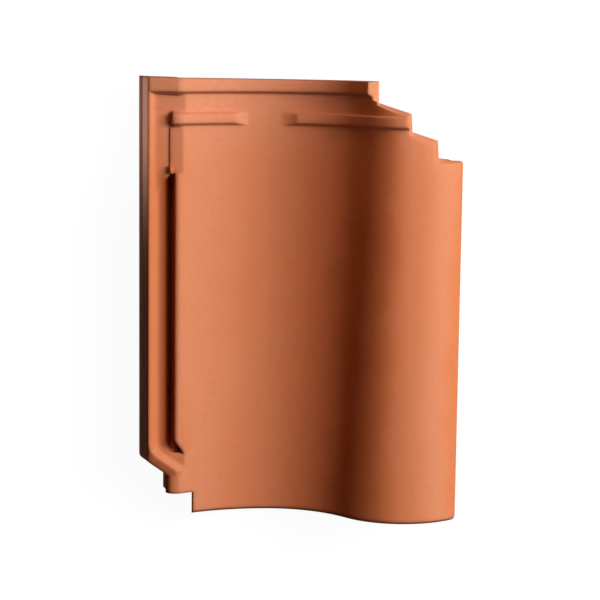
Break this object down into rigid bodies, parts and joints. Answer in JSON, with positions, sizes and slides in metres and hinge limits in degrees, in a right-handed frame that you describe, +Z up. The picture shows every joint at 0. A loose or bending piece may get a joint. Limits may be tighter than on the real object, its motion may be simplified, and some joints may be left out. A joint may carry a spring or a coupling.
{
  "type": "clay roof tile",
  "caption": "Interlocking clay pantile with a dished pan, one roll, a side lock with a water channel, head ribs, stepped corners and hanging nibs.",
  "frame": {"origin": "middle of the tile's box, at the level of the nibs' tips", "axes": "+X across the tile from the side lock to the roll, +Y from the foot edge to the head edge, +Z up, out of the weather face"},
  "size_m": [0.262, 0.362, 0.0825],
  "materials": {
    "fired_clay": "unglazed, natural red, fine sanded clay skin"
  },
  "bodies": {
    "root": {"roof_tile": "fired_clay"}
  },
  "joints": []
}
